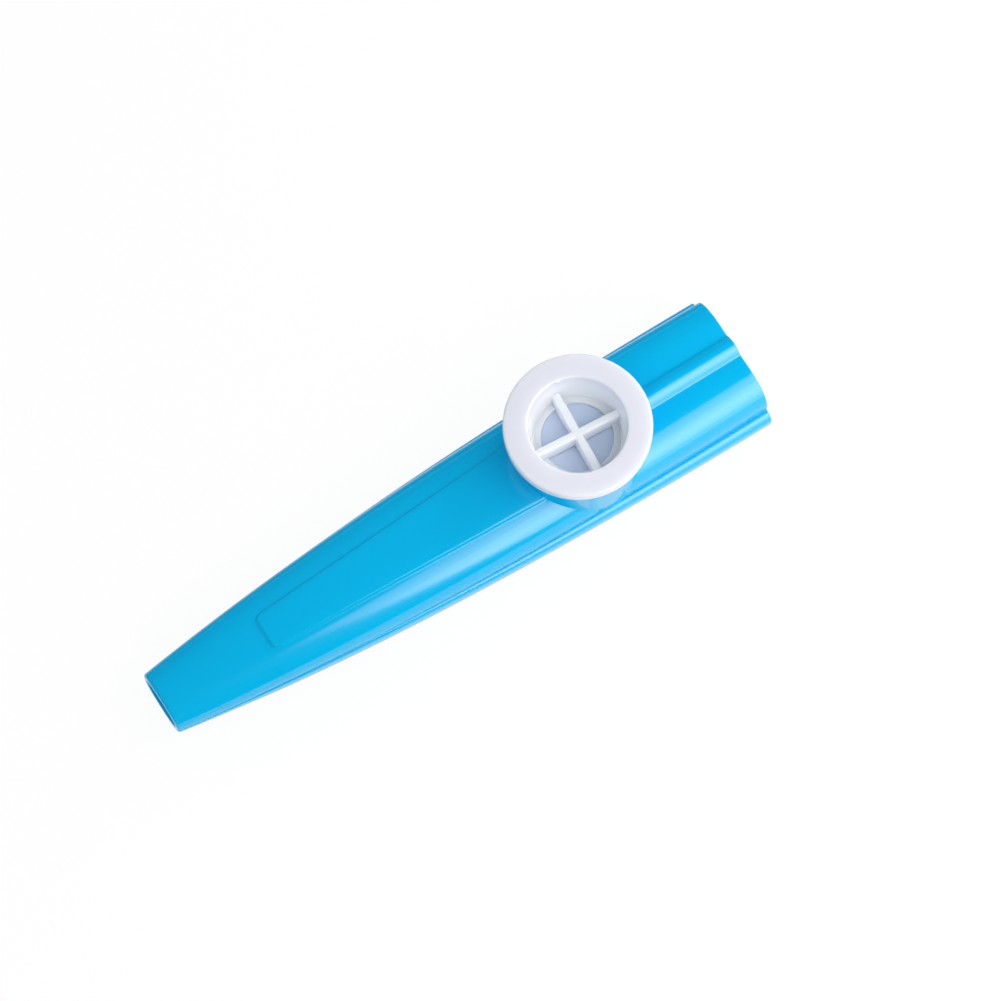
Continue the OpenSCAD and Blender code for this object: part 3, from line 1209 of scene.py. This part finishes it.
@dataclass(frozen=True)
class Lamp:
    """A rectangular soft light, aimed at a point, with its sizes and places in metres.

    A polished skin mirrors the rows of the lamp's face more brightly than the whole face lights the
    object, as it does with a bank of tubes behind a honeycomb. A row is a height and how bright it looks.
    A lamp without rows has a height of its own and shows in no reflection.
    """

    name: str
    place: tuple[float, float, float]
    width: float
    radiance: float
    rows: tuple[tuple[float, float], ...] = ()
    height: float = 0.0
    aim: tuple[float, float, float] = (0.0, 0.0, 0.01)
    turn: float = 0.0
    colour: str = "FFF9F3"
    lift: float = 0.002

    def face(self, name: str, height: float, radiance: float, shift: Vector) -> Piece:
        """Add one face of the lamp.

        Args:
            name: Name of the light.
            height: Height of the face.
            radiance: How bright the face is, from which its power is worked out.
            shift: Its place on the lamp: across, up and backwards.

        Returns:
            The light.
        """
        light = bpy.data.lights.new(name, "AREA")
        light.shape = "RECTANGLE"
        light.size, light.size_y = self.width, height
        light.energy = radiance * math.pi * self.width * height
        light.color = linear(self.colour)[:3]
        lamp = bpy.data.objects.new(name, light)
        aimed = (Vector(self.aim) - Vector(self.place)).to_track_quat("-Z", "Y").to_matrix()
        aimed = aimed @ Matrix.Rotation(math.radians(self.turn), 3, "Z")
        lamp.location = Vector(self.place) + aimed @ shift
        lamp.rotation_euler = aimed.to_euler()
        bpy.context.scene.collection.objects.link(lamp)
        return lamp

    def build(self) -> None:
        """Add the face that lights the object, and in front of it the rows that its skin mirrors."""
        whole = self.height or sum(height for height, _ in self.rows)
        self.face(self.name, whole, self.radiance, Vector()).visible_glossy = False
        top = whole / 2
        for number, (height, gleam) in enumerate(self.rows):
            shift = Vector((0.0, top - height / 2, -self.lift))
            self.face(f"{self.name}_row_{number}", height, gleam, shift).visible_diffuse = False
            top -= height


@dataclass
class Studio:
    """White floor, white backdrop above its edge, dim ceiling and soft lamps."""

    floor_half: float = 3.0
    floor_drop_mm: float = 0.05
    fill_near: float = 0.05
    fill_far: float = 0.88
    fill_from: tuple[float, float, float] = (-0.8, 1.0, 0.0)
    fill_colour: str = "F0FBFF"
    horizon_fade: float = 0.05
    ceiling: float = 0.02
    paper: str = "D8D8D8"
    # Painted shade: how dark the floor's far half looks in reflections, and where it darkens
    painted_far_shade: float = 0.02
    painted_shade_start: float = 0.015
    painted_shade_end: float = 0.04
    paper_share: float = 0.07
    lamps: tuple[Lamp, ...] = (
        Lamp(
            "key_bank",
            place=(0.342, -0.397, 0.28),
            width=0.6,
            radiance=2.05,
            rows=((0.04, 1.9), (0.05, 2.7), (0.07, 4.1), (0.14, 4.9), (0.14, 4.4), (0.2, 3.8), (0.16, 3.0)),
            aim=(0.342, -0.397, 0.0),
            turn=11.0,
        ),
        Lamp("side_bank", place=(0.5, -0.75, 0.17), width=0.8, radiance=3.6, rows=((0.25, 2.3),)),
        Lamp("end_lamp", place=(0.72, 0.2, 0.3), width=0.4, radiance=6.0, height=0.3),
        Lamp("mouth_lamp", place=(-0.35, -0.62, 0.52), width=0.4, radiance=3.8, height=0.3),
    )

    def seen(self, add: AddNode) -> Socket:
        """1 for rays that show the background: from the camera, in reflections and through clear pieces.

        Args:
            add: Call that adds a node to the tree.

        Returns:
            The socket that holds 1 or 0.
        """
        path = add("ShaderNodeLightPath")
        seen = path["Is Camera Ray"]
        for kind in ("Is Glossy Ray", "Is Transmission Ray"):
            seen = add("ShaderNodeMath", {0: seen, 1: path[kind]}, operation="MAXIMUM")["Value"]
        return seen

    def tone(self, add: AddNode, along: Socket, start: float, end: float, level: float) -> Socket:
        """White for the camera, and in reflections a tone that falls along a coordinate.

        Args:
            add: Call that adds a node to the tree.
            along: Coordinate that the tone falls along.
            start: Where it starts to fall from white.
            end: Where it has fallen.
            level: What it has fallen to.

        Returns:
            The socket that holds the tone.
        """
        fall = {"Value": along, "From Min": start, "From Max": end, "To Min": 1.0, "To Max": level}
        fallen = add("ShaderNodeMapRange", fall)["Result"]
        camera = add("ShaderNodeLightPath")["Is Camera Ray"]
        return add("ShaderNodeMath", {0: fallen, 1: camera}, operation="MAXIMUM")["Value"]

    def world(self) -> None:
        """Fill light from across the lamps, and where it is seen a white backdrop under a dim ceiling."""
        world = bpy.data.worlds.new("studio_air")
        bpy.context.scene.world = world
        add = bare_nodes(world)
        way = add("ShaderNodeTexCoord")["Generated"]
        height = add("ShaderNodeSeparateXYZ", {"Vector": way})["Z"]
        strength = self.tone(add, height, 0.0, self.horizon_fade, self.ceiling)
        backdrop = add("ShaderNodeBackground", {"Color": linear("FFFFFF"), "Strength": strength})["Background"]
        source = {0: way, 1: Vector(self.fill_from).normalized()}
        across = add("ShaderNodeVectorMath", source, operation="DOT_PRODUCT")["Value"]
        spread = {"Value": across, "From Min": -1.0, "To Min": self.fill_near, "To Max": self.fill_far}
        level = add("ShaderNodeMapRange", spread)["Result"]
        fill = add("ShaderNodeBackground", {"Color": linear(self.fill_colour), "Strength": level})["Background"]
        mixed = add("ShaderNodeMixShader", {0: self.seen(add), 1: fill, 2: backdrop})["Shader"]
        add("ShaderNodeOutputWorld", {"Surface": mixed})

    def floor(self) -> None:
        """White floor that keeps a soft shadow of the object, with its far half painted dark in reflections
        only, as painted shade.
        """
        h, z = self.floor_half / MM, -self.floor_drop_mm
        sheet = np.array([(-h, -h, z), (h, -h, z), (h, h, z), (-h, h, z)])
        floor = new_object("studio_floor", sheet, [(0, 1, 2, 3)])
        material = bpy.data.materials.new("white_studio_paper")
        add = bare_nodes(material)
        place = add("ShaderNodeTexCoord")["Object"]
        depth = add("ShaderNodeSeparateXYZ", {"Vector": place})["Y"]
        # In reflections only, the floor's far half is painted dark: painted shade that the object mirrors
        # behind it, which keeps its far flank deep in colour
        tone = self.tone(add, depth, self.painted_shade_start, self.painted_shade_end, self.painted_far_shade)
        paper = add("ShaderNodeBsdfDiffuse", {"Color": linear(self.paper)})["BSDF"]
        white = add("ShaderNodeEmission", {"Color": tone, "Strength": 1.0})["Emission"]
        shaded = add("ShaderNodeBsdfDiffuse", {"Color": tone})["BSDF"]
        pale = add("ShaderNodeMixShader", {0: self.paper_share, 1: white, 2: shaded})["Shader"]
        mixed = add("ShaderNodeMixShader", {0: self.seen(add), 1: paper, 2: pale})["Shader"]
        add("ShaderNodeOutputMaterial", {"Surface": mixed})
        floor.data.materials.append(material)

    def build(self) -> None:
        """Set up world, floor, lamps and the plain view transform."""
        bpy.context.scene.view_settings.view_transform = "Standard"
        self.world()
        self.floor()
        for lamp in self.lamps:
            lamp.build()
        LOG.info("studio: %d lamps", len(self.lamps))


@dataclass(frozen=True)
class PhotoCamera:
    """Camera at the photograph's view, fitted to the kazoo's corners and circles."""

    azimuth: float = -32.33
    elevation: float = 72.52
    distance: float = 1.0
    pixels_per_mm: float = 5.625
    aim: tuple[float, float, float] = (0.010376, -0.000659, 0.010)
    frame_pixels: int = 1001
    sensor_mm: float = 36.0
    nearest: float = 0.01
    farthest: float = 20.0

    def build(self) -> None:
        """Add the camera and make it the scene's own."""
        az, el = math.radians(self.azimuth), math.radians(self.elevation)
        back = Vector((math.sin(az) * math.cos(el), -math.cos(az) * math.cos(el), math.sin(el)))
        camera = bpy.data.cameras.new("photo_camera")
        camera.sensor_width = self.sensor_mm
        camera.lens = self.sensor_mm * self.pixels_per_mm * self.distance / MM / self.frame_pixels
        camera.clip_start, camera.clip_end = self.nearest, self.farthest
        rig = bpy.data.objects.new("photo_camera", camera)
        rig.location = Vector(self.aim) + back * self.distance
        rig.rotation_euler = (-back).to_track_quat("-Z", "Y").to_euler()
        bpy.context.scene.collection.objects.link(rig)
        bpy.context.scene.camera = rig


def corners(box: Iterable[Iterable[float]]) -> list[list[float]]:
    """Corners of a box as plain lists of numbers."""
    return [[float(v) for v in corner] for corner in box]


def main() -> None:
    """Build the camera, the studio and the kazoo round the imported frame."""
    logging.basicConfig(level=logging.INFO, format="%(name)s %(message)s")
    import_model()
    PhotoCamera().build()
    Studio().build()
    Shells().build()
    lathe = Lathe()
    TurretCap(lathe).build()
    Diaphragm(lathe).build()


if __name__ == "__main__":
    main()
